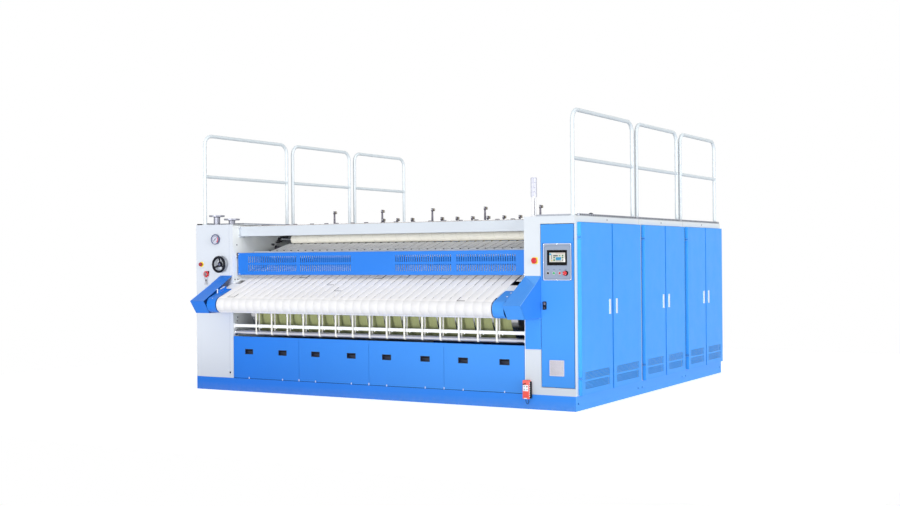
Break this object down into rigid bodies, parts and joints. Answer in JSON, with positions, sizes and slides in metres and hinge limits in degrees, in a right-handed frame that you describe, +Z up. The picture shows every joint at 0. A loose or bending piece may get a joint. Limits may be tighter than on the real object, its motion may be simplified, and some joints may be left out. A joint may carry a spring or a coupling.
{
  "type": "flatwork ironer",
  "caption": "Wide flatwork ironer with a sloping belt feed, finger guard, heated rolls in a row, side cabinets with hinged doors, roof handrails and an operator panel.",
  "frame": {"origin": "centre of the body's footprint, on the floor", "axes": "+X along the rolls to the operator's right, +Y to the back, +Z up"},
  "size_m": [5.022, 5.043, 3.03],
  "materials": {
    "blue_paint": "semi-gloss",
    "white_paint": "semi-gloss",
    "grey_plate": "satin",
    "pipe_steel": "satin",
    "dark_iron": "satin",
    "motor_paint": "satin",
    "tower_plastic": "gloss",
    "polished_steel": "polished",
    "roller_steel": "satin",
    "cream_felt": "matte",
    "white_belt": "matte",
    "khaki_belt": "matte",
    "panel_grey": "satin",
    "screen_black": "gloss",
    "black_plastic": "satin",
    "red_plastic": "gloss",
    "green_plastic": "gloss",
    "yellow_plate": "satin"
  },
  "bodies": {
    "machine": {"base_frame": "blue_paint", "side_frame_left": "white_paint", "side_frame_right": "white_paint", "cabinet_left": "white_paint", "cabinet_right": "white_paint", "door_hinges": "pipe_steel", "service_covers": "blue_paint", "front_covers": "blue_paint", "cross_bars": "white_paint", "roof_plates": "grey_plate", "handrails": "white_paint", "steam_pipes": "pipe_steel", "signal_tower": "tower_plastic", "tension_posts": "dark_iron", "ironing_belts": "khaki_belt", "feed_belts": "white_belt", "upper_belts": "white_belt", "return_tapes": "white_belt", "roll_bearings": "dark_iron", "gearmotors": "motor_paint", "feed_bed": "white_paint", "feed_wings": "blue_paint", "nose_covers": "blue_paint", "control_bases": "yellow_plate"},
    "roll_1": {"roll_1": "polished_steel"},
    "roll_2": {"roll_2": "polished_steel"},
    "roll_3": {"roll_3": "polished_steel"},
    "roll_4": {"roll_4": "polished_steel"},
    "roll_5": {"roll_5": "polished_steel"},
    "roll_6": {"roll_6": "polished_steel"},
    "nose_roller": {"nose_roller": "roller_steel"},
    "feed_rear_roller": {"feed_rear_roller": "roller_steel"},
    "upper_drive_roller": {"upper_drive_roller": "roller_steel"},
    "pressure_roller": {"pressure_roller": "cream_felt"},
    "tape_roller": {"tape_roller": "polished_steel"},
    "finger_guard": {"finger_guard": "blue_paint"},
    "feed_key_1": {"feed_key_1": "tower_plastic"},
    "feed_key_2": {"feed_key_2": "tower_plastic"},
    "feed_lever": {"feed_lever": "tower_plastic"},
    "gauge_needle": {"gauge_needle": "black_plastic"},
    "handwheel": {"handwheel": "black_plastic"},
    "left_stop_button": {"left_stop_button": "red_plastic"},
    "right_stop_button": {"right_stop_button": "red_plastic"},
    "key_switch_head": {"key_switch_head": "red_plastic"},
    "remote_control": {"remote_control": "red_plastic", "remote_strap": "black_plastic"},
    "control_door": {"control_door": "blue_paint", "operator_panel": "panel_grey", "touch_screen": "screen_black"},
    "door_latch": {"door_latch": "black_plastic"},
    "mode_selector": {"mode_selector": "black_plastic"},
    "start_key": {"start_key": "green_plastic"},
    "stop_key": {"stop_key": "red_plastic"},
    "panel_stop_button": {"panel_stop_button": "red_plastic"},
    "side_door_1": {"side_door_1": "blue_paint"},
    "side_door_2": {"side_door_2": "blue_paint"},
    "side_door_3": {"side_door_3": "blue_paint"},
    "side_door_4": {"side_door_4": "blue_paint"},
    "side_door_5": {"side_door_5": "blue_paint"},
    "side_door_6": {"side_door_6": "blue_paint"}
  },
  "joints": [
    {"name": "roll_1_turn", "type": "hinge", "parent": "machine", "child": "roll_1", "pos_m": [0, -1.81, 0.95], "axis": [1, 0, 0], "continuous": true},
    {"name": "roll_2_turn", "type": "hinge", "parent": "machine", "child": "roll_2", "pos_m": [0, -1.07, 0.95], "axis": [1, 0, 0], "continuous": true},
    {"name": "roll_3_turn", "type": "hinge", "parent": "machine", "child": "roll_3", "pos_m": [0, -0.33, 0.95], "axis": [1, 0, 0], "continuous": true},
    {"name": "roll_4_turn", "type": "hinge", "parent": "machine", "child": "roll_4", "pos_m": [0, 0.41, 0.95], "axis": [1, 0, 0], "continuous": true},
    {"name": "roll_5_turn", "type": "hinge", "parent": "machine", "child": "roll_5", "pos_m": [0, 1.15, 0.95], "axis": [1, 0, 0], "continuous": true},
    {"name": "roll_6_turn", "type": "hinge", "parent": "machine", "child": "roll_6", "pos_m": [0, 1.89, 0.95], "axis": [1, 0, 0], "continuous": true},
    {"name": "nose_roller_turn", "type": "hinge", "parent": "machine", "child": "nose_roller", "pos_m": [0, -2.64, 1.02], "axis": [1, 0, 0], "continuous": true},
    {"name": "feed_rear_roller_turn", "type": "hinge", "parent": "machine", "child": "feed_rear_roller", "pos_m": [0, -1.79, 1.39808], "axis": [1, 0, 0], "continuous": true},
    {"name": "upper_drive_roller_turn", "type": "hinge", "parent": "machine", "child": "upper_drive_roller", "pos_m": [0, -1.46, 1.665], "axis": [1, 0, 0], "continuous": true},
    {"name": "pressure_roller_turn", "type": "hinge", "parent": "machine", "child": "pressure_roller", "pos_m": [0, -1.4, 1.766], "axis": [1, 0, 0], "continuous": true},
    {"name": "tape_roller_turn", "type": "hinge", "parent": "machine", "child": "tape_roller", "pos_m": [0, -2.23, 0.683], "axis": [1, 0, 0], "continuous": true},
    {"name": "guard_swing", "type": "hinge", "parent": "machine", "child": "finger_guard", "pos_m": [0, -2.198, 1.589], "axis": [1, 0, 0], "range_deg": [0, 8]},
    {"name": "feed_key_1_press", "type": "slide", "parent": "machine", "child": "feed_key_1", "axis": [0, 0.3697, -0.9291], "range_m": [0, 0.003], "stiffness_N_per_m": 300, "springref_m": -0.002},
    {"name": "feed_key_2_press", "type": "slide", "parent": "machine", "child": "feed_key_2", "axis": [0, 0.3697, -0.9291], "range_m": [0, 0.003], "stiffness_N_per_m": 300, "springref_m": -0.002},
    {"name": "feed_lever_tilt", "type": "hinge", "parent": "machine", "child": "feed_lever", "pos_m": [-1.874, -2.574, 1.14917], "axis": [1, 0, 0], "range_deg": [-12, 12]},
    {"name": "needle_turn", "type": "hinge", "parent": "machine", "child": "gauge_needle", "pos_m": [-2.146, -2.302, 1.767], "axis": [0, 1, 0], "range_deg": [0, 270]},
    {"name": "handwheel_turn", "type": "hinge", "parent": "machine", "child": "handwheel", "pos_m": [-2.062, -2.333, 1.473], "axis": [0, 1, 0], "continuous": true},
    {"name": "left_stop_button_press", "type": "slide", "parent": "machine", "child": "left_stop_button", "axis": [0, 1, 0], "range_m": [0, 0.006]},
    {"name": "right_stop_button_press", "type": "slide", "parent": "machine", "child": "right_stop_button", "axis": [0, 1, 0], "range_m": [0, 0.006]},
    {"name": "key_switch_turn", "type": "hinge", "parent": "machine", "child": "key_switch_head", "pos_m": [-2.298, -2.29, 1.358], "axis": [0, 1, 0], "range_deg": [0, 90]},
    {"name": "remote_lift", "type": "slide", "parent": "machine", "child": "remote_control", "axis": [0, 0, 1], "range_m": [0, 0.03]},
    {"name": "control_door_swing", "type": "hinge", "parent": "machine", "child": "control_door", "pos_m": [2.438, -2.266, 1], "axis": [0, 0, 1], "range_deg": [0, 100]},
    {"name": "latch_turn", "type": "hinge", "parent": "control_door", "child": "door_latch", "pos_m": [2.131, -2.278, 1.046], "axis": [0, 1, 0], "range_deg": [0, 90]},
    {"name": "selector_turn", "type": "hinge", "parent": "control_door", "child": "mode_selector", "pos_m": [2.169, -2.27, 1.3695], "axis": [0, 1, 0], "range_deg": [-45, 45]},
    {"name": "start_key_press", "type": "slide", "parent": "control_door", "child": "start_key", "axis": [0, 1, 0], "range_m": [0, 0.004], "stiffness_N_per_m": 400, "springref_m": -0.001},
    {"name": "stop_key_press", "type": "slide", "parent": "control_door", "child": "stop_key", "axis": [0, 1, 0], "range_m": [0, 0.004], "stiffness_N_per_m": 400, "springref_m": -0.001},
    {"name": "panel_stop_press", "type": "slide", "parent": "control_door", "child": "panel_stop_button", "axis": [0, 1, 0], "range_m": [0, 0.006]},
    {"name": "side_door_1_swing", "type": "hinge", "parent": "machine", "child": "side_door_1", "pos_m": [2.493, -2.205, 1], "axis": [0, 0, 1], "range_deg": [-90, 0]},
    {"name": "side_door_2_swing", "type": "hinge", "parent": "machine", "child": "side_door_2", "pos_m": [2.493, -0.644, 1], "axis": [0, 0, 1], "range_deg": [0, 90]},
    {"name": "side_door_3_swing", "type": "hinge", "parent": "machine", "child": "side_door_3", "pos_m": [2.493, -0.496, 1], "axis": [0, 0, 1], "range_deg": [-90, 0]},
    {"name": "side_door_4_swing", "type": "hinge", "parent": "machine", "child": "side_door_4", "pos_m": [2.493, 0.776, 1], "axis": [0, 0, 1], "range_deg": [0, 90]},
    {"name": "side_door_5_swing", "type": "hinge", "parent": "machine", "child": "side_door_5", "pos_m": [2.493, 0.924, 1], "axis": [0, 0, 1], "range_deg": [-90, 0]},
    {"name": "side_door_6_swing", "type": "hinge", "parent": "machine", "child": "side_door_6", "pos_m": [2.493, 2.199, 1], "axis": [0, 0, 1], "range_deg": [0, 90]}
  ],
  "couplings": [
    {"joint": "roll_2_turn", "follows": "roll_1_turn", "ratio": 1},
    {"joint": "roll_3_turn", "follows": "roll_1_turn", "ratio": 1},
    {"joint": "roll_4_turn", "follows": "roll_1_turn", "ratio": 1},
    {"joint": "roll_5_turn", "follows": "roll_1_turn", "ratio": 1},
    {"joint": "roll_6_turn", "follows": "roll_1_turn", "ratio": 1},
    {"joint": "nose_roller_turn", "follows": "roll_1_turn", "ratio": -3.7356},
    {"joint": "feed_rear_roller_turn", "follows": "roll_1_turn", "ratio": -6.5},
    {"joint": "upper_drive_roller_turn", "follows": "roll_1_turn", "ratio": -7.7381},
    {"joint": "pressure_roller_turn", "follows": "roll_1_turn", "ratio": 6.5},
    {"joint": "tape_roller_turn", "follows": "roll_1_turn", "ratio": 13}
  ]
}
